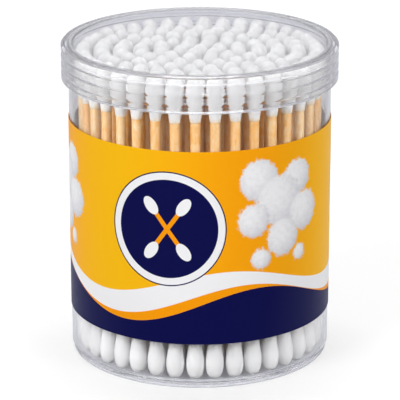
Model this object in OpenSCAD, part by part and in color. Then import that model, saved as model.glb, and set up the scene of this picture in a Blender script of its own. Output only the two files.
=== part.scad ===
// Round clear drum of wooden cotton swabs with a pull-off lid and a wrapped label.
// Millimetres, +Z up, origin at the centre of the foot on the table.

/* [Jar] */
// Outer diameter of the jar wall
jar_d = 65.4; // [58:0.1:90]
// Thickness of the jar wall
jar_wall = 1.1; // [0.9:0.05:2.2]
// Thickness of the jar floor
floor_t = 1.1; // [0.8:0.05:2.5]
// Depth of the recess under the floor, inside the foot ring
foot_recess = 0.4; // [0.2:0.05:1]
// Width of the foot ring that stands on the table
foot_w = 1.8; // [1.2:0.1:4]
// How far the foot is set in from the wall
foot_inset = 0.35; // [0.1:0.05:0.8]
// Height at which the foot steps out to the wall
foot_step_h = 1.5; // [1:0.1:3]
// Radius of the fillet between floor and wall inside
floor_fillet = 0.3; // [0.3:0.1:2]
// Radius of the rounded edge under the foot
foot_edge = 0.4; // [0.2:0.05:0.6]
// Radius of the rounded edges of the rim
rim_edge = 0.25; // [0.15:0.05:0.4]

/* [Lid] */
// Thickness of the lid skirt
lid_wall = 1.5; // [1:0.05:2.5]
// Thickness of the lid plate
lid_plate = 0.7; // [0.7:0.05:2]
// Depth of the skirt below the plate
lid_skirt = 8.5; // [6:0.1:14]
// Gap between skirt and jar wall
lid_clearance = 0.3; // [0.14:0.02:0.5]
// Number of grip grooves round the skirt
grip_grooves = 3; // [1:1:5]
// Depth of a grip groove
groove_depth = 0.22; // [0.1:0.02:0.5]
// Radius of the round cutter that a groove follows
groove_r = 0.9; // [0.5:0.05:1.2]
// Radius of the rounded edge round the plate
lid_edge = 0.5; // [0.4:0.05:1.2]
// Radius of the rounded lower edge of the skirt
lip_edge = 0.35; // [0.15:0.05:0.45]
// Lead-in chamfer inside the mouth of the lid
mouth_chamfer = 0.3; // [0.1:0.05:0.5]

/* [Label] */
// Height of the label's lower edge above the table
label_z = 11.7; // [8:0.1:20]
// Height of the label
label_h = 49.2; // [30:0.1:52]
// Thickness of the label
label_t = 0.15; // [0.1:0.01:0.3]
// Glue gap between label and jar
label_glue = 0.05; // [0.03:0.01:0.1]
// Width of the butt seam at the back of the label
label_seam = 0.5; // [0.2:0.1:2]

/* [Swabs] */
// Length of the longest swab
swab_l = 77.35; // [70:0.1:90]
// How much shorter the shortest swab is than its neighbours
length_spread = 0.5; // [0:0.1:1.5]
// How much lower the swabs stand at the back than at the front
back_drop = 0.8; // [0:0.1:1.5]
// Diameter of a wooden stick
stick_d = 2.4; // [1.8:0.1:2.6]
// Widest diameter of a cotton tip
tip_d = 4.5; // [4.2:0.05:5.6]
// Length of a cotton tip
tip_l = 11.4; // [9:0.1:16]
// Distance from the end of a tip to its widest place
tip_widest = 4; // [3.5:0.1:5]
// Radius of the rounded end of a tip
tip_nose = 2; // [1.5:0.05:2]
// Thickness of the cotton's feathered edge on the stick
tip_feather = 0.15; // [0.15:0.05:0.4]
// Cotton beyond the end of the stick
tip_cap = 1.5; // [0.8:0.1:3]
// Gap between stick and wound cotton
wind_gap = 0.05; // [0.04:0.01:0.08]
// Least gap between neighbouring tips
swab_gap = 0.25; // [0.2:0.05:1]
// Gap between the wall row of tips and the jar
wall_gap = 0.15; // [0.1:0.05:0.5]
// Room above the longest swab, under the lid
head_room = 0.2; // [0.2:0.1:5]
// Turn of the wall row against the front
wall_turn = 2.5; // [0:0.1:9]

/* [Hidden] */
round_fn = 96;
stand_gap = 0.04;

jar_r = jar_d / 2;
jar_bore_r = jar_r - jar_wall;
foot_r = jar_r - foot_inset;
floor_z = foot_recess + floor_t;
stand_z = floor_z + stand_gap;
jar_h = stand_z + swab_l + head_room;

skirt_bore_r = jar_r + lid_clearance;
lid_r = skirt_bore_r + lid_wall;
lid_top_z = jar_h + lid_plate;
lid_low_z = jar_h - lid_skirt;
groove_pitch = (lid_plate + lid_skirt) / (grip_grooves + 1);

tip_r = tip_d / 2;
stick_r = stick_d / 2;
neck_r = stick_r + wind_gap + tip_feather;
side_r = (pow(tip_r, 2) - pow(tip_nose, 2) + pow(tip_widest - tip_nose, 2)) / (2 * (tip_r - tip_nose));
side_c = [tip_r - side_r, tip_widest];
nose_end = tip_nose * (1 - (tip_widest - tip_nose) / (side_r - tip_nose));
taper_run = [neck_r, tip_l] - side_c;
taper_turn = atan2(taper_run.y, taper_run.x) - acos(side_r / norm(taper_run));
taper_start = side_c + side_r * [cos(taper_turn), sin(taper_turn)];

pitch = tip_d + swab_gap;
wall_row_r = jar_bore_r - wall_gap - tip_r;
core_r = wall_row_r - pitch;
core_rings = floor(core_r / pitch);
core_pitch = core_r / core_rings;

// The rows run inwards from the wall: the wall row, three rings, then the core.
wall_row = ring_swabs(wall_row_r, wall_turn, 11);
second_row = core_ring(core_rings);
third_row = core_ring(core_rings - 1);
fourth_row = core_ring(core_rings - 2);
core = [for (k = [0 : core_rings - 3]) each core_ring(k)];

// A unit vector at an angle in the XY plane.
function heading(angle) = [cos(angle), sin(angle)];

// A swab is [x, y, length].
function swab(place, shortening) = [
    place.x, place.y,
    swab_l - length_spread * shortening - back_drop * (1 + place.y / wall_row_r) / 2
];

// How many swabs stand side by side on a ring.
function ring_count(r) = floor(180 / asin(pitch / 2 / r));

// Swabs spaced round a ring, each swaying a little along it and standing to its own length.
function ring_swabs(r, turn, seed) =
    let (
        count = ring_count(r),
        step = 360 / count,
        slack = 2 * r * sin(step / 2) - tip_d - swab_gap / 2,
        sway = slack / 2 / r * 180 / PI,
        nudge = rands(-sway, sway, count, seed),
        short = rands(0, 1, count, seed + 1)
    )
    [for (i = [0 : count - 1]) swab(r * heading(turn + step * i + nudge[i]), short[i])];

// Ring k of the core, with a turn of its own.
function core_ring(k) =
    k == 0 ? [swab([0, 0], 0.5)] :
    ring_swabs(k * core_pitch, rands(0, 360, 1, 60 + k)[0], 20 + 2 * k);

// Half section of a disc from z0 to z1 whose outer corners are rounded.
module disc_section(r, z0, z1, low_edge, high_edge) {
    translate([0, z0 + low_edge])
        square([r, z1 - z0 - low_edge - high_edge]);
    if (low_edge > 0) {
        translate([0, z0]) square([r - low_edge, low_edge]);
        translate([r - low_edge, z0 + low_edge]) circle(low_edge, $fn = round_fn);
    }
    if (high_edge > 0) {
        translate([0, z1 - high_edge]) square([r - high_edge, high_edge]);
        translate([r - high_edge, z1 - high_edge]) circle(high_edge, $fn = round_fn);
    }
}

// Outline of the jar with its cavity still filled.
module jar_outside() {
    disc_section(foot_r, 0, foot_step_h + foot_inset, foot_edge, 0);
    polygon([
        [0, foot_step_h], [foot_r, foot_step_h],
        [jar_r, foot_step_h + foot_inset], [0, foot_step_h + foot_inset]
    ]);
    disc_section(jar_r, foot_step_h + foot_inset, jar_h, 0, rim_edge);
}

// The space for the swabs, with a fillet round the floor and a rounded rim.
module jar_cavity() {
    disc_section(jar_bore_r, floor_z, jar_h - rim_edge, floor_fillet, 0);
    difference() {
        translate([0, jar_h - rim_edge]) square([jar_bore_r + rim_edge, 2 * rim_edge]);
        translate([jar_bore_r + rim_edge, jar_h - rim_edge]) circle(rim_edge, $fn = round_fn);
    }
}

module jar() {
    color([0.86, 0.88, 0.91, 0.35])
        rotate_extrude($fn = round_fn)
            difference() {
                jar_outside();
                jar_cavity();
                square([foot_r - foot_w, foot_recess]);
            }
}

module lid() {
    color([0.86, 0.88, 0.91, 0.35])
        rotate_extrude($fn = round_fn)
            difference() {
                disc_section(lid_r, lid_low_z, lid_top_z, lip_edge, lid_edge);
                translate([0, lid_low_z]) square([skirt_bore_r, lid_skirt]);
                polygon([
                    [0, lid_low_z], [skirt_bore_r + mouth_chamfer, lid_low_z],
                    [skirt_bore_r, lid_low_z + mouth_chamfer], [0, lid_low_z + mouth_chamfer]
                ]);
                for (i = [1 : grip_grooves])
                    translate([lid_r + groove_r - groove_depth, lid_top_z - i * groove_pitch])
                        circle(groove_r, $fn = round_fn);
            }
}

module label() {
    label_bore_r = jar_r + label_glue;
    color([0.98, 0.65, 0.05])
        difference() {
            rotate_extrude($fn = round_fn)
                translate([label_bore_r, label_z]) square([label_t, label_h]);
            translate([-label_seam / 2, 0, label_z - 1])
                cube([label_seam, jar_d, label_h + 2]);
        }
}

// Half section of a cotton tip, rounded end down at zero, bored for its stick.
module tip_section() {
    difference() {
        union() {
            intersection() {
                translate([0, tip_nose]) circle(tip_nose, $fn = round_fn);
                square([tip_r, 2 * tip_nose]);
            }
            intersection() {
                translate(side_c) circle(side_r, $fn = round_fn);
                translate([0, nose_end]) square([tip_r + 1, taper_start.y - nose_end]);
            }
            polygon([
                [0, tip_widest], [neck_r, tip_widest], taper_start, [neck_r, tip_l], [0, tip_l]
            ]);
        }
        translate([0, tip_cap - wind_gap]) square([stick_r + wind_gap, tip_l]);
    }
}

module cotton_tip() {
    rotate_extrude($fn = round_fn) tip_section();
}

module sticks(row) {
    color([0.86, 0.68, 0.43])
        for (s = row)
            translate([s.x, s.y, stand_z + tip_cap])
                cylinder(h = s.z - 2 * tip_cap, r = stick_r, $fn = round_fn);
}

module bottom_cotton(row) {
    color([0.96, 0.96, 0.96])
        for (s = row)
            translate([s.x, s.y, stand_z]) cotton_tip();
}

module top_cotton(row) {
    color([0.96, 0.96, 0.96])
        for (s = row)
            translate([s.x, s.y, stand_z + s.z]) mirror([0, 0, 1]) cotton_tip();
}

jar();
lid();
label();
sticks(wall_row);  // wall_row_sticks
top_cotton(wall_row);  // wall_row_top_cotton
bottom_cotton(wall_row);  // wall_row_bottom_cotton
sticks(second_row);  // second_row_sticks
top_cotton(second_row);  // second_row_top_cotton
bottom_cotton(second_row);  // second_row_bottom_cotton
sticks(third_row);  // third_row_sticks
top_cotton(third_row);  // third_row_top_cotton
bottom_cotton(third_row);  // third_row_bottom_cotton
sticks(fourth_row);  // fourth_row_sticks
top_cotton(fourth_row);  // fourth_row_top_cotton
bottom_cotton(fourth_row);  // fourth_row_bottom_cotton
sticks(core);  // core_sticks
top_cotton(core);  // core_top_cotton
bottom_cotton(core);  // core_bottom_cotton
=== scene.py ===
"""Dresses a clear drum of cotton swabs: moulded shells, printed film, wooden sticks and wound cotton."""

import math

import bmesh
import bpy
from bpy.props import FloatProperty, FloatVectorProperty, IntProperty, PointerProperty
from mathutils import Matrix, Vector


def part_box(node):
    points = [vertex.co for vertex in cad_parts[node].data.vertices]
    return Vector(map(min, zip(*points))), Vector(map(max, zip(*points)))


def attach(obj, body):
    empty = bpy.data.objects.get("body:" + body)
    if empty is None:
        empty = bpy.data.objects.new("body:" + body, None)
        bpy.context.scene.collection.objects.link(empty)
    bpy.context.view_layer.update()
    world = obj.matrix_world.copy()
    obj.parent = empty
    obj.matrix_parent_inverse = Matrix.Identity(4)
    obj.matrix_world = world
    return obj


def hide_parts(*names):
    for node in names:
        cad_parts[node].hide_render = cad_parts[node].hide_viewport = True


bl_info = {
    "name": "Cotton Swab Drum",
    "version": (1, 0, 0),
    "blender": (4, 5, 0),
    "location": "3D View > Sidebar > Swab Drum",
    "description": "Builds the looks of a clear drum of cotton swabs round its fixed frame",
    "category": "Object",
}

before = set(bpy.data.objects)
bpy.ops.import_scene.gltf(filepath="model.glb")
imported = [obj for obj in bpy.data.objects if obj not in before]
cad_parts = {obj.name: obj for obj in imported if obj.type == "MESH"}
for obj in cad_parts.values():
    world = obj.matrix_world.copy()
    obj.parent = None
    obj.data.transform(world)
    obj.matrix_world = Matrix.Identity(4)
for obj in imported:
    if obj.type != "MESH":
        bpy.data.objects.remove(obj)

MM = 0.001
FULL_TURN = 2 * math.pi
BLACK, WHITE = (0.0, 0.0, 0.0), (1.0, 1.0, 1.0)
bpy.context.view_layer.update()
JAR_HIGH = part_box("jar")[1]
LID_LOW, LID_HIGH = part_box("lid")
LABEL_LOW, LABEL_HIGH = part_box("label")
TIP_LOW, TIP_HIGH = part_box("wall_row_bottom_cotton")
ROWS = ("wall_row", "second_row", "third_row", "fourth_row", "core")
STICK_NODES = [row + "_sticks" for row in ROWS]
COTTON_NODES = [row + end for row in ROWS for end in ("_top_cotton", "_bottom_cotton")]


# Settings

def length(name, description, default):
    """A size in metres that a user may change."""
    return FloatProperty(
        name=name, description=description, default=default, min=0.0,
        unit="LENGTH", subtype="DISTANCE", precision=5,
    )


def bearing(name, description, degrees):
    """An angle that a user may change."""
    return FloatProperty(
        name=name, description=description, default=math.radians(degrees),
        unit="ROTATION", subtype="ANGLE",
    )


def colour(name, description, default):
    """A colour that a user may change, in linear light."""
    return FloatVectorProperty(
        name=name, description=description, default=default, size=3,
        min=0.0, max=1.0, subtype="COLOR",
    )


def share(name, description, default):
    """A share, from none to all, that a user may change."""
    return FloatProperty(
        name=name, description=description, default=default, min=0.0, max=1.0, subtype="FACTOR",
    )


def count(name, description, default, least, most):
    """A whole number that a user may change."""
    return IntProperty(name=name, description=description, default=default, min=least, max=most)


class ShellSettings(bpy.types.PropertyGroup):
    """Sizes and clearness of the jar and lid."""

    jar_wall: length("Jar wall", "Thickness of the jar wall", 1.1 * MM)
    floor_top: length("Floor top", "Height of the jar floor's upper face", 1.5 * MM)
    floor_fillet: length("Floor fillet", "Radius between floor and wall inside", 0.3 * MM)
    foot_recess: length("Foot recess", "Depth of the recess under the floor", 0.4 * MM)
    foot_width: length("Foot width", "Width of the foot ring", 1.8 * MM)
    foot_inset: length("Foot inset", "How far the foot is set in from the wall", 0.35 * MM)
    foot_step: length("Foot step", "Height at which the foot steps out to the wall", 1.5 * MM)
    foot_edge: length("Foot edge", "Radius of the edge under the foot", 0.4 * MM)
    rim_edge: length("Rim edge", "Radius of the rim's edges", 0.25 * MM)
    skirt_gap: length("Skirt gap", "Gap between lid skirt and jar", 0.3 * MM)
    plate_edge: length("Plate edge", "Radius of the edge round the lid plate", 0.5 * MM)
    lip_edge: length("Lip edge", "Radius of the skirt's lower edge", 0.35 * MM)
    mouth_chamfer: length("Mouth chamfer", "Lead-in chamfer inside the skirt", 0.3 * MM)
    groove_depth: length("Groove depth", "Depth of a grip groove", 0.22 * MM)
    groove_radius: length("Groove radius", "Radius of a grip groove", 0.9 * MM)
    grooves: count("Grooves", "Grip grooves round the skirt", 3, 1, 5)
    segments: count("Segments", "Facets round a shell", 240, 48, 480)
    tint: colour("Tint", "Tint of the clear plastic", (0.982, 0.982, 0.986))
    jar_clearness: share("Jar clearness", "Lamp light that each face of the jar lets through", 0.92)
    lid_clearness: share("Lid clearness", "Lamp light that each face of the lid lets through", 0.975)


class FilmSettings(bpy.types.PropertyGroup):
    """Colours and motifs of the printed film."""

    ground: colour("Ground", "Main orange of the print", (0.98, 0.34, 0.001))
    ground_light: colour("Light ground", "Yellower orange of the print", (1.0, 0.56, 0.005))
    navy: colour("Navy", "Dark blue of the print", (0.003, 0.004, 0.07))
    white: colour("White", "White of the print", (0.92, 0.92, 0.935))
    shade: colour("Shade", "Shaded side of the soft balls", (0.60, 0.60, 0.65))
    back_dark: colour("Dark back", "Darker mottle of the print seen from behind", (0.42, 0.19, 0.03))
    back_light: colour("Light back", "Lighter mottle of the print seen from behind", (0.50, 0.23, 0.04))
    disc_radius: length("Disc radius", "Radius of the round panel", 12.5 * MM)
    disc_rim: length("Disc rim", "Unit of width of the rings round the panel", 1.3 * MM)
    disc_height: length("Disc height", "Height of the panel's centre above the film's lower edge", 29.5 * MM)
    wave_height: length("Wave height", "Mean height that the waves are measured from", 8.0 * MM)
    repeats: count("Repeats", "Times the print repeats round the drum", 3, 1, 6)


class SwabSettings(bpy.types.PropertyGroup):
    """Sizes and colours of the swabs."""

    tip_radius: length("Tip radius", "Widest radius of a cotton tip", 2.25 * MM)
    tip_cap: length("Tip cap", "Cotton beyond the end of the stick", 1.5 * MM)
    stick_radius: length("Stick radius", "Radius of a stick", 1.2 * MM)
    cotton: colour("Cotton", "Colour of the cotton", (0.92, 0.92, 0.925))
    wood_light: colour("Light wood", "Pale grain of the sticks", (0.84, 0.68, 0.43))
    wood_dark: colour("Dark wood", "Darker grain of the sticks", (0.74, 0.34, 0.045))
    seed: count("Seed", "Seed of the random variation", 7, 0, 9999)


class StageSettings(bpy.types.PropertyGroup):
    """Camera, floor and surroundings."""

    camera_distance: length("Camera distance", "From the camera to its aim", 0.6376)
    camera_height: length("Aim height", "Height of the point the camera looks at", 38.02 * MM)
    camera_side: length("Aim side", "Sideways offset of the aim", 0.05 * MM)
    elevation: bearing("Elevation", "Camera's angle above the horizon", 18.37)
    view_angle: bearing("View angle", "Camera's angle of view", 9.085)
    floor_colour: colour("Floor", "Colour of the floor", (0.42, 0.42, 0.425))
    floor_glow: share("Floor glow", "Light the floor adds to what is seen", 0.54)
    floor_mirrored: share("Mirrored floor", "Share of the floor in front in mirror images", 0.18)
    mirrored: share("Mirrored", "Share of the surroundings in mirror images", 0.7)
    low_mirrored: share("Mirrored low", "Share of the low surroundings in mirror images", 0.3)
    glass_light: colour("Glass light", "Colour of the surroundings in glass", (0.88, 0.89, 1.0))
    flags: share("Flags", "Light left beside the set in glass", 0.25)
    ambient: share("Ambient", "World light that falls on surfaces", 0.33)


# Meshes

# Points that lie closer than this are one point
MERGE = 0.001 * MM


def rounded(corners, hold=0.08 * MM, arc_step=math.radians(11)):
    """Points along a section whose corners (radius, height, fillet) are rounded.

    Straight stretches get a point near each end, so that smooth shading stays on the fillets."""
    points = []

    def add(point):
        if not points or (point - points[-1]).length > MERGE:
            points.append(point)

    last = len(corners) - 1
    for i, (r, z, fillet) in enumerate(corners):
        here = Vector((r, z))
        if i in (0, last):
            add(here)
            continue
        back = (Vector(corners[i - 1][:2]) - here).normalized()
        ahead = (Vector(corners[i + 1][:2]) - here).normalized()
        if fillet == 0:
            add(here + back * hold)
            add(here)
            add(here + ahead * hold)
            continue
        half = back.angle(ahead) / 2
        reach = fillet / math.tan(half)
        centre = here + (back + ahead).normalized() * (fillet / math.sin(half))
        start = here + back * reach - centre
        turn = math.pi - 2 * half
        if start.x * ahead.y - start.y * ahead.x < 0:
            turn = -turn
        steps = max(2, round(abs(turn) / arc_step))
        add(here + back * (reach + hold))
        for k in range(steps + 1):
            angle = turn * k / steps
            cos, sin = math.cos(angle), math.sin(angle)
            add(centre + Vector((start.x * cos - start.y * sin, start.x * sin + start.y * cos)))
        add(here + ahead * (reach + hold))
    return points


def lathe(name, section, segments):
    """A closed shell turned from a section that starts and ends on the axis."""
    bm = bmesh.new()
    angles = [FULL_TURN * k / segments for k in range(segments)]
    rings = []
    for r, z in section:
        places = [(r * math.cos(a), r * math.sin(a), z) for a in angles] if r > MERGE else [(0, 0, z)]
        rings.append([bm.verts.new(place) for place in places])
    for low, high in zip(rings, rings[1:]):
        for k in range(segments):
            n = (k + 1) % segments
            around = [low[k % len(low)], low[n % len(low)], high[n % len(high)], high[k % len(high)]]
            bm.faces.new(dict.fromkeys(around))
    bmesh.ops.recalc_face_normals(bm, faces=bm.faces)
    return finished(name, bm)


def finished(name, bm, sharp=math.radians(40)):
    """Turns a bmesh into a smooth object in the scene, sharp where its faces turn."""
    mesh = bpy.data.meshes.new(name)
    bm.to_mesh(mesh)
    bm.free()
    mesh.shade_smooth()
    mesh.set_sharp_from_angle(angle=sharp)
    return in_scene(name, mesh)


def in_scene(name, data):
    """An object with the given data, linked to the scene."""
    made = bpy.data.objects.new(name, data)
    bpy.context.scene.collection.objects.link(made)
    return made


def stick_axes():
    """Each stick as (x, y, lower end, upper end), read from the frame's stick nodes."""
    axes = []
    for name in STICK_NODES:
        bm = bmesh.new()
        bm.from_mesh(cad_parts[name].data)
        bmesh.ops.remove_doubles(bm, verts=bm.verts, dist=MERGE)
        waiting = set(bm.verts)
        while waiting:
            island, front = [], [waiting.pop()]
            while front:
                vert = front.pop()
                island.append(vert.co.copy())
                linked = [edge.other_vert(vert) for edge in vert.link_edges]
                front += [other for other in linked if other in waiting]
                waiting.difference_update(linked)
            xs, ys, zs = zip(*island)
            axes.append(((min(xs) + max(xs)) / 2, (min(ys) + max(ys)) / 2, min(zs), max(zs)))
        bm.free()
    return sorted(axes)


def point_cloud(name, places, **attributes):
    """An object of loose points, with one float attribute per keyword."""
    mesh = bpy.data.meshes.new(name)
    mesh.from_pydata(places, [], [])
    for key, values in attributes.items():
        mesh.attributes.new(key, "FLOAT", "POINT").data.foreach_set("value", values)
    return in_scene(name, mesh)


def grown(cloud, tree, **inputs):
    """Runs a geometry tree on a point cloud and keeps the result as a plain mesh."""
    modifier = cloud.modifiers.new(tree.name, "NODES")
    modifier.node_group = tree
    sockets = {s.name: s.identifier for s in tree.interface.items_tree if s.in_out == "INPUT"}
    for name, value in inputs.items():
        modifier[sockets[name.capitalize()]] = value
    depsgraph = bpy.context.evaluated_depsgraph_get()
    mesh = bpy.data.meshes.new_from_object(
        cloud.evaluated_get(depsgraph), preserve_all_data_layers=True, depsgraph=depsgraph,
    )
    mesh.name = cloud.name
    cloud.modifiers.remove(modifier)
    cloud.data = mesh
    return cloud


# Node trees

# Places of the colour sockets on a Mix node
COLOUR_A, COLOUR_B, COLOUR_RESULT = 6, 7, 2


def node(tree, kind, inputs=None, **settings):
    """Adds a node; an input is a value or the socket that feeds it."""
    made = tree.nodes.new(kind)
    for key, value in settings.items():
        setattr(made, key, value)
    for key, value in (inputs or {}).items():
        if isinstance(value, bpy.types.NodeSocket):
            tree.links.new(value, made.inputs[key])
        else:
            made.inputs[key].default_value = value
    return made


def maths(tree, operation, *values, clamp=False):
    """The result of a Math node."""
    made = node(tree, "ShaderNodeMath", dict(enumerate(values)), operation=operation, use_clamp=clamp)
    return made.outputs[0]


def weighted(tree, *pairs):
    """The sum of values, each times its weight."""
    total = 0.0
    for value, weight in pairs:
        total = maths(tree, "MULTIPLY_ADD", value, weight, total)
    return total


def mixed(tree, factor, first, second):
    """The colour between first and second, each a plain colour or a socket."""
    ends = [end if isinstance(end, bpy.types.NodeSocket) else (*end, 1.0) for end in (first, second)]
    inputs = {"Factor": factor, COLOUR_A: ends[0], COLOUR_B: ends[1]}
    return node(tree, "ShaderNodeMix", inputs, data_type="RGBA").outputs[COLOUR_RESULT]


def ramp(tree, value, start, end, low, high, kind="LINEAR"):
    """Low up to start, high from end on, and a run between them."""
    inputs = {"Value": value, "From Min": start, "From Max": end, "To Min": low, "To Max": high}
    return node(tree, "ShaderNodeMapRange", inputs, interpolation_type=kind).outputs["Result"]


def between(tree, value, low, high):
    """A value from 0..1 carried to low..high."""
    return ramp(tree, value, 0.0, 1.0, low, high)


def noise(tree, vector, cells, detail=2.0, roughness=0.5):
    """A noise value with a number of cells per unit of the vector."""
    inputs = {"Vector": vector, "Scale": cells, "Detail": detail, "Roughness": roughness}
    return node(tree, "ShaderNodeTexNoise", inputs).outputs["Fac"]


def streaks(tree, vector, cells, detail=2.0, roughness=0.5):
    """A noise value with a number of cells per unit of each axis."""
    scaled = node(tree, "ShaderNodeMapping", {"Vector": vector, "Scale": cells}).outputs["Vector"]
    return noise(tree, scaled, 1.0, detail, roughness)


def split(tree, vector):
    """The X, Y and Z of a vector."""
    return node(tree, "ShaderNodeSeparateXYZ", {0: vector}).outputs


def object_place(tree):
    """The place on a piece, in metres."""
    return node(tree, "ShaderNodeTexCoord").outputs["Object"]


def own_place(tree, attribute):
    """The place on one repeated shape, that place shifted by the shape's tone, and the tone."""
    place = node(tree, "ShaderNodeAttribute", attribute_name=attribute).outputs["Vector"]
    tone = node(tree, "ShaderNodeAttribute", attribute_name="tone").outputs["Fac"]
    offset = node(tree, "ShaderNodeCombineXYZ", {"X": tone, "Y": tone, "Z": tone}).outputs[0]
    shifted = node(tree, "ShaderNodeVectorMath", {0: place, 1: offset}, operation="ADD").outputs[0]
    return place, shifted, tone


def new_material(name, finish):
    """A material, its tree, shader and output, with plain values set on the shader's sockets."""
    material = bpy.data.materials.new(name)
    material.use_nodes = True
    tree = material.node_tree
    shader = tree.nodes["Principled BSDF"]
    for socket, value in finish.items():
        shader.inputs[socket].default_value = value
    return material, tree, shader, tree.nodes["Material Output"]


def bumped(tree, shader, height, strength, distance):
    """Gives a shader the relief of a height value."""
    bump = node(tree, "ShaderNodeBump", {"Strength": strength, "Distance": distance, "Height": height})
    tree.links.new(bump.outputs[0], shader.inputs["Normal"])


# Materials

# Noise cells per metre
HAZE = 180.0
FLUFF = 1900.0
MOTTLE = 400.0
RIPPLE = 90.0
SCUFFS = 600.0
# Noise cells per metre across and along a swab
WINDING = (350.0, 350.0, 2600.0)
WISPS = (1500.0, 1500.0, 150.0)
GRAIN = (1500.0, 1500.0, 45.0)
FIGURE = (250.0, 250.0, 25.0)

# Share of the cotton's colour left between its fibres, as painted shade in the crevices
FIBRE_SHADE = 0.93
# Share of a tip's length from which the cotton thins out, and how bare it is there and at its end
THIN_FROM = 0.85
COVERED, WORN = -1.5, -0.25
# How far the wisps of thin cotton vary
WISP_SWING = 2.0

# Part of the grain pattern that stays pale, the range it is spread over, and how far sticks differ
GRAIN_START = 0.1
GRAIN_RANGE = (-0.3, 1.5)
TONE_SWING = 0.5


def clear_plastic(tint, clearness, satin_from=None, haze=0.05, satin=0.45):
    """Polished clear moulding that lets lamp light through, satin above a height if one is given."""
    material, tree, shader, output = new_material("clear_moulding", {
        "Base Color": (*tint, 1.0), "Transmission Weight": 1.0, "IOR": 1.57,
    })
    place = object_place(tree)
    roughness = between(tree, noise(tree, place, HAZE, detail=4.0), 0.0, haze)
    if satin_from is not None:
        above = maths(tree, "GREATER_THAN", split(tree, place)["Z"], satin_from)
        roughness = maths(tree, "MULTIPLY_ADD", above, satin, roughness)
    tree.links.new(roughness, shader.inputs["Roughness"])
    to_lamp = node(tree, "ShaderNodeLightPath").outputs["Is Shadow Ray"]
    lamp_light = node(tree, "ShaderNodeBsdfTransparent", {"Color": (clearness, clearness, clearness, 1.0)})
    inputs = {0: to_lamp, 1: shader.outputs[0], 2: lamp_light.outputs[0]}
    tree.links.new(node(tree, "ShaderNodeMixShader", inputs).outputs[0], output.inputs["Surface"])
    return material


def wound_cotton(cotton, wood, tip_length):
    """Soft white cotton wound round the stick, with the wood showing through its thin end."""
    material, tree, shader, _ = new_material("wound_cotton", {
        "Roughness": 0.95, "Specular IOR Level": 0.1, "Sheen Weight": 0.2, "Sheen Roughness": 0.5,
        "Subsurface Weight": 0.25, "Subsurface Radius": (1.0, 1.0, 1.0), "Subsurface Scale": 0.8 * MM,
    })
    place, shifted, _ = own_place(tree, "bud_place")
    winding = streaks(tree, shifted, WINDING, detail=3.0)
    fluff = noise(tree, shifted, FLUFF, detail=4.0, roughness=0.65)
    fibres = weighted(tree, (winding, 0.6), (fluff, 0.4))
    # The cotton darkens between its fibres: painted shade
    wool_with_painted_shade = mixed(tree, fibres, [FIBRE_SHADE * channel for channel in cotton], cotton)
    thin = ramp(tree, split(tree, place)["Z"], THIN_FROM * tip_length, tip_length, COVERED, WORN)
    bare = maths(tree, "MULTIPLY_ADD", streaks(tree, shifted, WISPS), WISP_SWING, thin, clamp=True)
    tree.links.new(mixed(tree, bare, wool_with_painted_shade, wood), shader.inputs["Base Color"])
    bumped(tree, shader, fibres, strength=0.35, distance=0.12 * MM)
    return material


def birch(light, dark):
    """Plain pale wood with grain along the stick."""
    material, tree, shader, _ = new_material("birch", {"Roughness": 0.42})
    _, shifted, tone = own_place(tree, "stick_place")
    grain = streaks(tree, shifted, GRAIN, detail=5.0, roughness=0.6)
    pattern = weighted(tree, (grain, 0.7), (streaks(tree, shifted, FIGURE), 0.5))
    contrast = between(tree, maths(tree, "SUBTRACT", pattern, GRAIN_START, clamp=True), *GRAIN_RANGE)
    own_tone = maths(tree, "SUBTRACT", tone, 0.5)
    varied = maths(tree, "MULTIPLY_ADD", own_tone, TONE_SWING, contrast, clamp=True)
    tree.links.new(mixed(tree, varied, light, dark), shader.inputs["Base Color"])
    bumped(tree, shader, grain, strength=0.25, distance=0.05 * MM)
    return material


def film_back(dark, light):
    """Print seen from behind through the film, and its cut edge."""
    material, tree, shader, _ = new_material("film_back", {"Roughness": 0.5})
    mottle = noise(tree, object_place(tree), MOTTLE)
    tree.links.new(mixed(tree, mottle, dark, light), shader.inputs["Base Color"])
    return material


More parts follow.
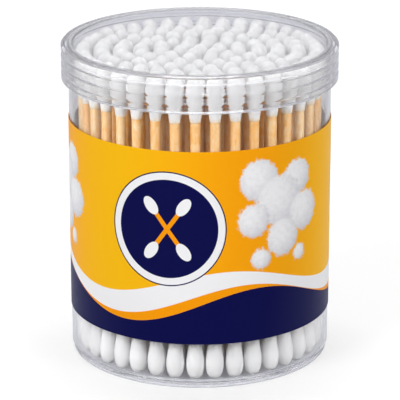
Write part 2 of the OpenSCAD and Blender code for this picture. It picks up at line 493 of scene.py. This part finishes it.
class Print:
    """Fields of colour on the film, in millimetres from the front and up from the lower edge."""

    # Steps of ink per millimetre at a crisp edge and at a soft one
    EDGE = 12.0
    SOFT_EDGE = 1.3
    # Noise cells per millimetre in a soft ball, and how far they stir its outline and its shade
    BALL_CELLS = 0.8
    BALL_EDGE = 3.0
    BALL_SHADE = 0.9
    # Where a soft ball is brightest and where its shade is full, in radii
    LIT_SIDE, LIT_UP = -0.3, 0.35
    SHADE_REACH = 1.5

    def __init__(self, tree, girth, height, repeats):
        self.tree = tree
        uv = split(tree, node(tree, "ShaderNodeUVMap", uv_map="wrap").outputs[0])
        across = self.calc("MULTIPLY", self.calc("SUBTRACT", uv["X"], 0.5), girth)
        self.period = girth / repeats
        self.x = self.calc("WRAP", across, self.period / 2, -self.period / 2)
        self.y = self.calc("MULTIPLY", uv["Y"], height)
        self.colour = None
        place = node(tree, "ShaderNodeCombineXYZ", {"X": self.x, "Y": self.y}).outputs[0]
        fluff = noise(tree, place, self.BALL_CELLS, detail=5.0, roughness=0.6)
        self.fluff = self.calc("SUBTRACT", fluff, 0.5)

    def calc(self, operation, *values, clamp=False):
        """The result of a Math node in the print's tree."""
        return maths(self.tree, operation, *values, clamp=clamp)

    def offsets(self, x, y):
        """How far each place is from a centre, across and up."""
        return self.calc("SUBTRACT", self.x, x), self.calc("SUBTRACT", self.y, y)

    def turned(self, x, y, angle):
        """Offsets from a centre, along axes turned by an angle."""
        dx, dy = self.offsets(x, y)
        cos, sin = math.cos(angle), math.sin(angle)
        return weighted(self.tree, (dx, cos), (dy, sin)), weighted(self.tree, (dy, cos), (dx, -sin))

    def squares(self, dx, dy):
        """The sum of two squares."""
        return self.calc("MULTIPLY_ADD", dx, dx, self.calc("MULTIPLY", dy, dy))

    def sine(self, shift):
        """A sine that runs once through each repeat of the print."""
        return self.calc("SINE", self.calc("MULTIPLY_ADD", self.x, FULL_TURN / self.period, shift))

    def wave(self, mean, swing, shift):
        """The depth below a wave that repeats with the print."""
        crest = self.calc("MULTIPLY_ADD", self.sine(shift), swing, mean)
        return self.calc("SUBTRACT", crest, self.y)

    def oval(self, dx, dy, half_width, half_height):
        """The depth inside an oval, from offsets to its centre."""
        across, up = self.calc("DIVIDE", dx, half_width), self.calc("DIVIDE", dy, half_height)
        reach = self.calc("SQRT", self.squares(across, up))
        return self.calc("MULTIPLY", self.calc("SUBTRACT", 1.0, reach), half_width)

    def disc(self, x, y, radius):
        """The depth inside a disc."""
        return self.oval(*self.offsets(x, y), radius, radius)

    def bar(self, dx, dy, half_width, half_height):
        """The depth inside a bar, from offsets to its centre."""
        side = self.calc("SUBTRACT", half_width, self.calc("ABSOLUTE", dx))
        end = self.calc("SUBTRACT", half_height, self.calc("ABSOLUTE", dy))
        return self.calc("MINIMUM", side, end)

    def lay(self, depth, ink, edge=EDGE):
        """Prints a colour, over what is there, where the depth in millimetres is above zero."""
        inside = self.calc("MULTIPLY_ADD", depth, edge, 0.5, clamp=True)
        self.colour = mixed(self.tree, inside, self.colour, ink)

    def ball(self, x, y, radius, light, dark):
        """Prints a soft ball, lit from the upper left."""
        dx, dy = self.offsets(x + self.LIT_SIDE * radius, y + self.LIT_UP * radius)
        shade = self.calc("DIVIDE", self.squares(dx, dy), (self.SHADE_REACH * radius) ** 2)
        shade = self.calc("MULTIPLY_ADD", self.fluff, self.BALL_SHADE, shade, clamp=True)
        depth = self.calc("MULTIPLY_ADD", self.fluff, self.BALL_EDGE, self.disc(x, y, radius))
        self.lay(depth, mixed(self.tree, shade, light, dark), self.SOFT_EDGE)


# Swing of the ground's colour round the drum, and where it starts
GROUND_SWING, GROUND_SHIFT = 0.33, 3.6
# Waves as (millimetres above the mean, swing in millimetres, shift in radians, ink)
WAVES = ((7.0, 3.6, 0.9, "white"), (2.6, 4.2, 0.5, "ground"), (1.2, 4.4, 0.2, "navy"))
# The round panel's place across a repeat in millimetres, and its fields as (rims beyond its radius, ink)
PANEL_X = -8.0
PANEL_FIELDS = ((1.6, "navy"), (1.35, "white"), (0.0, "navy"))
# The crossed swabs: lean in radians, half sizes of stick and tip and place of a tip in millimetres
SWAB_LEAN = 0.62
SWAB_STICK = (0.55, 6.6)
SWAB_TIP = (1.45, 2.5)
SWAB_TIP_AT = 7.0
# Soft balls as (across, up, radius) in millimetres
SOFT_BALLS = (
    (26.5, 40.0, 4.6), (15.0, 41.0, 5.2), (21.0, 35.0, 6.6), (29.0, 31.0, 5.0),
    (13.5, 31.0, 4.2), (22.0, 25.5, 4.8), (15.5, 21.0, 2.6), (27.5, 20.5, 2.0),
)
# Range of the film's roughness
FILM_ROUGHNESS = (0.3, 0.42)


def printed_film(inks, girth, height):
    """Glossy film with a generic print: waves, soft balls and a round panel with crossed swabs."""
    material, tree, shader, _ = new_material("printed_film", {"Specular IOR Level": 0.09})
    page = Print(tree, girth / MM, height / MM, inks.repeats)
    blend = page.calc("MULTIPLY_ADD", page.sine(GROUND_SHIFT), GROUND_SWING, 0.5)
    page.colour = mixed(tree, blend, inks.ground, inks.ground_light)
    for above, swing, shift, ink in WAVES:
        page.lay(page.wave(inks.wave_height / MM + above, swing, shift), getattr(inks, ink))
    centre = (PANEL_X, inks.disc_height / MM)
    for rims, ink in PANEL_FIELDS:
        page.lay(page.disc(*centre, (inks.disc_radius + rims * inks.disc_rim) / MM), getattr(inks, ink))
    for lean in (-SWAB_LEAN, SWAB_LEAN):
        across, along = page.turned(*centre, lean)
        page.lay(page.bar(across, along, *SWAB_STICK), inks.ground)
        for end in (-SWAB_TIP_AT, SWAB_TIP_AT):
            page.lay(page.oval(across, page.calc("SUBTRACT", along, end), *SWAB_TIP), inks.white)
    for x, y, radius in SOFT_BALLS:
        page.ball(x, y, radius, inks.white, inks.shade)
    tree.links.new(page.colour, shader.inputs["Base Color"])
    place = object_place(tree)
    bumped(tree, shader, noise(tree, place, RIPPLE, detail=3.0), strength=0.04, distance=0.2 * MM)
    tree.links.new(between(tree, noise(tree, place, SCUFFS), *FILM_ROUGHNESS), shader.inputs["Roughness"])
    return material


# Light of the stage

def in_view(tree, through, mirrored, unseen):
    """One to the camera, and the values given through glass, in a mirror image and to what is only lit."""
    rays = node(tree, "ShaderNodeLightPath").outputs
    bent = maths(tree, "MAXIMUM", rays["Is Transmission Ray"], rays["Is Glossy Ray"])
    straight = maths(tree, "SUBTRACT", 1.0, rays["Diffuse Depth"], clamp=True)
    image = between(tree, rays["Glossy Depth"], through, mirrored)
    glimpse = between(tree, maths(tree, "MULTIPLY", bent, straight), unseen, image)
    return between(tree, rays["Is Camera Ray"], glimpse, 1.0)


def flagged(tree, across, start, end, dark):
    """One in the middle, darkening to both sides as from black flags beside a set."""
    return ramp(tree, maths(tree, "ABSOLUTE", across), start, end, 1.0, dark, kind="SMOOTHSTEP")


def light_in_glass(tree, glass_light):
    """White light, but of the colour given in glass and mirror images."""
    return mixed(tree, in_view(tree, 0.0, 0.0, 1.0), glass_light, WHITE)


# Geometry trees

STICK_SIDES = 12
TIP_SIDES = 12
# Rings of a cotton tip as (height, width), in shares of its length and widest radius, from the round end
TIP_RINGS = (
    (0.0, 0.14), (0.022, 0.43), (0.07, 0.71), (0.14, 0.872),
    (0.28, 0.988), (0.42, 0.982), (0.71, 0.75), (1.0, 0.57),
)


def new_tree(name, **sizes):
    """An empty geometry tree with named inputs, and its input and output nodes."""
    tree = bpy.data.node_groups.new(name, "GeometryNodeTree")
    tree.interface.new_socket("Points", in_out="INPUT", socket_type="NodeSocketGeometry")
    for key, kind in sizes.items():
        tree.interface.new_socket(key.capitalize(), in_out="INPUT", socket_type=kind)
    tree.interface.new_socket("Mesh", in_out="OUTPUT", socket_type="NodeSocketGeometry")
    return tree, tree.nodes.new("NodeGroupInput").outputs, tree.nodes.new("NodeGroupOutput").inputs


def stored(tree, geometry, name, value, data_type, domain):
    """Geometry that keeps a value under a name."""
    inputs = {"Geometry": geometry, "Name": name, "Value": value}
    kind = "GeometryNodeStoreNamedAttribute"
    return node(tree, kind, inputs, data_type=data_type, domain=domain).outputs[0]


def random_share(tree, seed):
    """A random value from 0 to 1 for each point or instance."""
    return node(tree, "FunctionNodeRandomValue", {"Seed": seed}, data_type="FLOAT").outputs[1]


def point_value(tree, name):
    """A named value that the points bring with them."""
    return node(tree, "GeometryNodeInputNamedAttribute", {"Name": name}, data_type="FLOAT").outputs[0]


def scattered(tree, given, shape, place_name, rotation, scale):
    """Puts a shape on each point with a tone of its own and gives the realised mesh."""
    place = node(tree, "GeometryNodeInputPosition").outputs[0]
    marked = stored(tree, shape, place_name, place, "FLOAT_VECTOR", "POINT")
    inputs = {"Points": given["Points"], "Instance": marked, "Rotation": rotation, "Scale": scale}
    placed = node(tree, "GeometryNodeInstanceOnPoints", inputs).outputs[0]
    toned = stored(tree, placed, "tone", random_share(tree, given["Seed"]), "FLOAT", "INSTANCE")
    real = node(tree, "GeometryNodeRealizeInstances", {"Geometry": toned}).outputs[0]
    smooth = node(tree, "GeometryNodeSetShadeSmooth", {"Geometry": real}).outputs[0]
    inputs = {"Geometry": smooth, "Material": given["Material"]}
    return node(tree, "GeometryNodeSetMaterial", inputs).outputs[0]


def profile(tree, step, values):
    """A curve of straight stretches through values that are spaced evenly from 0 to 1."""
    made = node(tree, "ShaderNodeFloatCurve", {"Value": step})
    points = made.mapping.curves[0].points
    last = len(values) - 1
    points[0].location = (0.0, values[0])
    points[1].location = (1.0, values[last])
    for k in range(1, last):
        points.new(k / last, values[k])
    for point in points:
        point.handle_type = "VECTOR"
    made.mapping.update()
    return made.outputs[0]


def cotton_tip_tree():
    """A teardrop of cotton on each point, upside down where the point says so."""
    tree, given, result = new_tree(
        "Cotton tips", length="NodeSocketFloat", radius="NodeSocketFloat",
        seed="NodeSocketInt", material="NodeSocketMaterial",
    )
    line = node(tree, "GeometryNodeMeshLine", {"Count": len(TIP_RINGS)})
    curve = node(tree, "GeometryNodeMeshToCurve", {"Mesh": line.outputs[0]})
    step = maths(tree, "DIVIDE", node(tree, "GeometryNodeInputIndex").outputs[0], len(TIP_RINGS) - 1.0)
    height, width = (profile(tree, step, values) for values in zip(*TIP_RINGS))
    place = node(tree, "ShaderNodeCombineXYZ", {"Z": maths(tree, "MULTIPLY", height, given["Length"])})
    inputs = {"Geometry": curve.outputs[0], "Position": place.outputs[0]}
    axis = node(tree, "GeometryNodeSetPosition", inputs)
    hoop = node(tree, "GeometryNodeCurvePrimitiveCircle", {"Resolution": TIP_SIDES, "Radius": 1.0})
    inputs = {
        "Curve": axis.outputs[0], "Profile Curve": hoop.outputs[0], "Fill Caps": True,
        "Scale": maths(tree, "MULTIPLY", width, given["Radius"]),
    }
    tip = node(tree, "GeometryNodeCurveToMesh", inputs)
    over = maths(tree, "MULTIPLY", point_value(tree, "upside"), math.pi)
    spin = maths(tree, "MULTIPLY", random_share(tree, given["Seed"]), FULL_TURN)
    turn = node(tree, "ShaderNodeCombineXYZ", {"X": over, "Z": spin}).outputs[0]
    rotation = node(tree, "FunctionNodeEulerToRotation", {0: turn}).outputs[0]
    tree.links.new(scattered(tree, given, tip.outputs[0], "bud_place", rotation, (1, 1, 1)), result[0])
    return tree


def stick_tree():
    """A round stick standing on each point, as long as the point says."""
    tree, given, result = new_tree(
        "Sticks", radius="NodeSocketFloat", seed="NodeSocketInt", material="NodeSocketMaterial",
    )
    inputs = {"Vertices": STICK_SIDES, "Radius": given["Radius"], "Depth": 1.0}
    rod = node(tree, "GeometryNodeMeshCylinder", inputs)
    inputs = {"X": 1.0, "Y": 1.0, "Z": point_value(tree, "tall")}
    scale = node(tree, "ShaderNodeCombineXYZ", inputs).outputs[0]
    tree.links.new(scattered(tree, given, rod.outputs[0], "stick_place", (0, 0, 0), scale), result[0])
    return tree


# Operators

class SWABDRUM_OT_jar(bpy.types.Operator):
    """Turn the clear jar with its floor, foot ring and rim"""

    bl_idname = "swabdrum.jar"
    bl_label = "Clear jar"

    # How far below the rim its satin reaches, in radii of the rim's edge
    SATIN_REACH = 1.1

    def execute(self, context):
        shell = context.scene.drum_shells
        wall_r, rim_z = JAR_HIGH.x, JAR_HIGH.z
        foot_r, bore_r = wall_r - shell.foot_inset, wall_r - shell.jar_wall
        section = rounded([
            (0, shell.foot_recess, 0),
            (foot_r - shell.foot_width, shell.foot_recess, 0),
            (foot_r - shell.foot_width, 0, 0),
            (foot_r, 0, shell.foot_edge),
            (foot_r, shell.foot_step, 0),
            (wall_r, shell.foot_step + shell.foot_inset, 0),
            (wall_r, rim_z, shell.rim_edge),
            (bore_r, rim_z, shell.rim_edge),
            (bore_r, shell.floor_top, shell.floor_fillet),
            (0, shell.floor_top, 0),
        ])
        jar = lathe("clear_jar", section, shell.segments)
        satin_from = rim_z - self.SATIN_REACH * shell.rim_edge
        jar.data.materials.append(clear_plastic(shell.tint, shell.jar_clearness, satin_from))
        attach(jar, "drum")
        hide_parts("jar")
        return {"FINISHED"}


class SWABDRUM_OT_lid(bpy.types.Operator):
    """Turn the clear lid with its grip grooves"""

    bl_idname = "swabdrum.lid"
    bl_label = "Clear lid"

    # Fillets at a groove's edges and in its bottom, as shares of its radius
    EDGE_FILLET = 0.12
    BOTTOM_FILLET = 0.8
    HOLD = 0.03 * MM

    def execute(self, context):
        shell = context.scene.drum_shells
        outer_r, top_z, low_z = LID_HIGH.x, LID_HIGH.z, LID_LOW.z
        bore_r, seat_z = JAR_HIGH.x + shell.skirt_gap, JAR_HIGH.z
        radius = shell.groove_radius
        pitch = (top_z - low_z) / (shell.grooves + 1)
        half_angle = math.acos(1 - shell.groove_depth / radius)
        half_chord = radius * math.sin(half_angle)
        bottom_r = outer_r - shell.groove_depth - radius * (1 / math.cos(half_angle) - 1)
        corners = [(0, top_z, 0), (outer_r, top_z, shell.plate_edge)]
        for k in range(1, shell.grooves + 1):
            groove_z = top_z - k * pitch
            corners += [
                (outer_r, groove_z + half_chord, self.EDGE_FILLET * radius),
                (bottom_r, groove_z, self.BOTTOM_FILLET * radius),
                (outer_r, groove_z - half_chord, self.EDGE_FILLET * radius),
            ]
        corners += [
            (outer_r, low_z, shell.lip_edge),
            (bore_r + shell.mouth_chamfer, low_z, 0),
            (bore_r, low_z + shell.mouth_chamfer, 0),
            (bore_r, seat_z, 0),
            (0, seat_z, 0),
        ]
        lid = lathe("clear_lid", rounded(corners, hold=self.HOLD), shell.segments)
        lid.data.materials.append(clear_plastic(shell.tint, shell.lid_clearness))
        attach(lid, "lid")
        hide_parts("lid")
        return {"FINISHED"}


class SWABDRUM_OT_film(bpy.types.Operator):
    """Wrap the printed film round the jar"""

    bl_idname = "swabdrum.film"
    bl_label = "Printed film"

    COLUMNS = 240
    SEAM = 0.5 * MM
    THICKNESS = 0.15 * MM

    def execute(self, context):
        inks = context.scene.drum_film
        outer_r = LABEL_HIGH.x
        seam_angle = self.SEAM / outer_r / 2
        bm = bmesh.new()
        wrap = bm.loops.layers.uv.new("wrap")
        columns = []
        for k in range(self.COLUMNS + 1):
            way = k / self.COLUMNS
            angle = (2 * way - 1) * (math.pi - seam_angle)
            column = [
                bm.verts.new((r * math.sin(angle), -r * math.cos(angle), z))
                for r in (outer_r, outer_r - self.THICKNESS) for z in (LABEL_LOW.z, LABEL_HIGH.z)
            ]
            columns.append((way, column))
        for (way_a, a), (way_b, b) in zip(columns, columns[1:]):
            front = bm.faces.new((a[0], b[0], b[1], a[1]))
            for loop, uv in zip(front.loops, ((way_a, 0), (way_b, 0), (way_b, 1), (way_a, 1))):
                loop[wrap].uv = uv
            for ring in ((a[2], a[3], b[3], b[2]), (a[0], a[2], b[2], b[0]), (a[1], b[1], b[3], a[3])):
                bm.faces.new(ring).material_index = 1
        first, last = columns[0][1], columns[-1][1]
        for end in ((first[0], first[1], first[3], first[2]), (last[0], last[2], last[3], last[1])):
            bm.faces.new(end).material_index = 1
        film = finished("printed_film", bm)
        height = LABEL_HIGH.z - LABEL_LOW.z
        film.data.materials.append(printed_film(inks, FULL_TURN * outer_r, height))
        film.data.materials.append(film_back(inks.back_dark, inks.back_light))
        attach(film, "drum")
        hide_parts("label")
        return {"FINISHED"}


class SWABDRUM_OT_sticks(bpy.types.Operator):
    """Stand the wooden sticks in the jar"""

    bl_idname = "swabdrum.sticks"
    bl_label = "Wooden sticks"

    def execute(self, context):
        swab = context.scene.drum_swabs
        axes = stick_axes()
        cloud = point_cloud(
            "wooden_sticks", [(x, y, (low + high) / 2) for x, y, low, high in axes],
            tall=[high - low for _, _, low, high in axes],
        )
        sticks = grown(
            cloud, stick_tree(), radius=swab.stick_radius, seed=swab.seed,
            material=birch(swab.wood_light, swab.wood_dark),
        )
        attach(sticks, "drum")
        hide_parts(*STICK_NODES)
        return {"FINISHED"}


class SWABDRUM_OT_cotton(bpy.types.Operator):
    """Wind the cotton tips on both ends of the sticks"""

    bl_idname = "swabdrum.cotton"
    bl_label = "Cotton tips"

    def execute(self, context):
        swab = context.scene.drum_swabs
        axes = stick_axes()
        places = [(x, y, low - swab.tip_cap) for x, y, low, _ in axes]
        places += [(x, y, high + swab.tip_cap) for x, y, _, high in axes]
        upside = [0.0] * len(axes) + [1.0] * len(axes)
        cloud = point_cloud("cotton_tips", places, upside=upside)
        tip_length = TIP_HIGH.z - TIP_LOW.z
        tips = grown(
            cloud, cotton_tip_tree(), length=tip_length, radius=swab.tip_radius, seed=swab.seed,
            material=wound_cotton(swab.cotton, swab.wood_light, tip_length),
        )
        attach(tips, "drum")
        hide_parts(*COTTON_NODES)
        return {"FINISHED"}


class SWABDRUM_OT_stage(bpy.types.Operator):
    """Set the floor, the lamps and the camera"""

    bl_idname = "swabdrum.stage"
    bl_label = "Stage"

    BOUNCES = 128
    DIFFUSE_BOUNCES = 16
    FLOOR_SIZE = 1.6
    FLOOR_CELLS = 8
    # Where the flags start and end, in metres on the floor and as a heading in the world
    FLOOR_FLAGS = (0.05, 0.2)
    WORLD_FLAGS = (0.55, 0.85)
    # The stretch of floor where the front part ends, in metres
    FRONT_END = (-0.045, -0.033)
    # Radii of the jar between which the painted shadow under it fades out of the floor's glow, and the share
    # of glow left in that painted shadow
    PAINTED_SHADOW_RADII = (0.8, 0.95)
    PAINTED_SHADOW_LIGHT = 0.35
    # Upward heading of the low surroundings, and how far from it they end
    LOW_BAND = 0.33
    BAND_END = (0.1, 0.22)
    # Lamps as (name, place, width and height, power), in metres and watts
    FRONT_LAMPS = (
        ("key", (-0.62, -0.6, 0.55), (0.4, 0.6), 5.6),
        ("fill", (0.66, -0.55, 0.5), (0.4, 0.6), 3.8),
    )
    TOP_LAMP = ("top", (0.0, 0.25, 1.0), (0.5, 0.5), 4.3)
    BACK_LAMPS = (
        ("back_left", (-0.6, 0.68, 0.5), (0.4, 0.6), 1.9),
        ("back_right", (0.6, 0.68, 0.5), (0.4, 0.6), 1.9),
    )

    def execute(self, context):
        scene, stage = context.scene, context.scene.drum_stage
        self.floor(stage)
        self.world(scene, stage)
        front = [self.lamp(*row) for row in self.FRONT_LAMPS]
        self.keep_off(front, bpy.data.objects["clear_lid"])
        self.lamp(*self.TOP_LAMP)
        for row in self.BACK_LAMPS:
            lamp = self.lamp(*row)
            lamp.visible_transmission = lamp.visible_glossy = False
        self.camera(scene, stage)
        scene.view_settings.view_transform = "Standard"
        for limit in ("max_bounces", "glossy_bounces", "transmission_bounces"):
            setattr(scene.cycles, limit, self.BOUNCES)
        scene.cycles.diffuse_bounces = self.DIFFUSE_BOUNCES
        return {"FINISHED"}

    def floor(self, stage):
        """A pale floor that takes the shadow and glows where it is seen, with a painted shadow in its glow
        under the jar.
        """
        bm = bmesh.new()
        cells = self.FLOOR_CELLS
        bmesh.ops.create_grid(bm, x_segments=cells, y_segments=cells, size=self.FLOOR_SIZE / 2)
        floor = finished("floor", bm)
        finish = {"Roughness": 0.9, "Specular IOR Level": 0.0}
        material, tree, shader, output = new_material("paper_floor", finish)
        place = object_place(tree)
        spot = split(tree, place)
        mirrored = ramp(tree, spot["Y"], *self.FRONT_END, stage.floor_mirrored, stage.mirrored)
        base = mixed(tree, in_view(tree, 1.0, mirrored, 1.0), BLACK, stage.floor_colour)
        tree.links.new(base, shader.inputs["Base Color"])
        # Painted shadow under the jar: the floor's glow fades down where the jar stands
        away = node(tree, "ShaderNodeVectorMath", {0: place}, operation="LENGTH").outputs["Value"]
        start, end = (radii * JAR_HIGH.x for radii in self.PAINTED_SHADOW_RADII)
        beside = ramp(tree, away, start, end, self.PAINTED_SHADOW_LIGHT, 1.0)
        shown = maths(tree, "MULTIPLY", flagged(tree, spot["X"], *self.FLOOR_FLAGS, stage.flags), beside)
        seen = in_view(tree, shown, maths(tree, "MULTIPLY", shown, mirrored), 0.0)
        glow = node(tree, "ShaderNodeEmission", {
            "Strength": maths(tree, "MULTIPLY", seen, stage.floor_glow),
            "Color": light_in_glass(tree, stage.glass_light),
        })
        both = node(tree, "ShaderNodeAddShader", {0: shader.outputs[0], 1: glow.outputs[0]})
        tree.links.new(both.outputs[0], output.inputs["Surface"])
        floor.data.materials.append(material)

    def world(self, scene, stage):
        """White surroundings, darker to both sides in glass and low down in mirror images."""
        scene.world = bpy.data.worlds.new("studio")
        scene.world.use_nodes = True
        tree = scene.world.node_tree
        heading = split(tree, node(tree, "ShaderNodeTexCoord").outputs["Generated"])
        shown = flagged(tree, heading["X"], *self.WORLD_FLAGS, stage.flags)
        off_band = maths(tree, "ABSOLUTE", maths(tree, "SUBTRACT", heading["Z"], self.LOW_BAND))
        mirrored = ramp(tree, off_band, *self.BAND_END, stage.low_mirrored, stage.mirrored)
        strength = in_view(tree, shown, maths(tree, "MULTIPLY", shown, mirrored), stage.ambient)
        background = tree.nodes["Background"].inputs
        tree.links.new(strength, background["Strength"])
        tree.links.new(light_in_glass(tree, stage.glass_light), background["Color"])

    def lamp(self, name, place, size, power):
        """A soft lamp aimed at the middle of the drum."""
        light = bpy.data.lights.new(name, "AREA")
        light.shape = "RECTANGLE"
        light.size, light.size_y = size
        light.energy = power
        lamp = in_scene(name, light)
        lamp.location = place
        aim = Vector((0, 0, JAR_HIGH.z / 2)) - Vector(place)
        lamp.rotation_euler = aim.to_track_quat("-Z", "Y").to_euler()
        return lamp

    def keep_off(self, lamps, piece):
        """Stops lamps from lighting a flat clear piece, which would mirror them as white sheets."""
        spared = bpy.data.collections.new("spared_piece")
        spared.objects.link(piece)
        spared.collection_objects[0].light_linking.link_state = "EXCLUDE"
        for lamp in lamps:
            lamp.light_linking.receiver_collection = spared

    def camera(self, scene, stage):
        """A camera at the photograph's viewing angle."""
        data = bpy.data.cameras.new("photo_view")
        data.angle = stage.view_angle
        camera = in_scene("photo_view", data)
        aim = Vector((stage.camera_side, 0, stage.camera_height))
        back = Vector((0, -math.cos(stage.elevation), math.sin(stage.elevation)))
        camera.location = aim + back * stage.camera_distance
        camera.rotation_euler = (-back).to_track_quat("-Z", "Y").to_euler()
        scene.camera = camera


class SWABDRUM_PT_panel(bpy.types.Panel):
    """Lists the pieces of the drum"""

    bl_idname = "SWABDRUM_PT_panel"
    bl_label = "Swab Drum"
    bl_space_type = "VIEW_3D"
    bl_region_type = "UI"
    bl_category = "Swab Drum"

    def draw(self, context):
        for piece in PIECES:
            self.layout.operator(piece.bl_idname)


SETTINGS = {
    "drum_shells": ShellSettings,
    "drum_film": FilmSettings,
    "drum_swabs": SwabSettings,
    "drum_stage": StageSettings,
}
PIECES = (
    SWABDRUM_OT_jar, SWABDRUM_OT_lid, SWABDRUM_OT_film,
    SWABDRUM_OT_sticks, SWABDRUM_OT_cotton, SWABDRUM_OT_stage,
)
CLASSES = (*SETTINGS.values(), *PIECES, SWABDRUM_PT_panel)


def register():
    for cls in CLASSES:
        bpy.utils.register_class(cls)
    for name, group in SETTINGS.items():
        setattr(bpy.types.Scene, name, PointerProperty(type=group))


def unregister():
    for name in SETTINGS:
        delattr(bpy.types.Scene, name)
    for cls in reversed(CLASSES):
        bpy.utils.unregister_class(cls)


def main():
    register()
    bpy.ops.swabdrum.jar()
    bpy.ops.swabdrum.lid()
    bpy.ops.swabdrum.film()
    bpy.ops.swabdrum.sticks()
    bpy.ops.swabdrum.cotton()
    bpy.ops.swabdrum.stage()


if __name__ == "__main__":
    main()
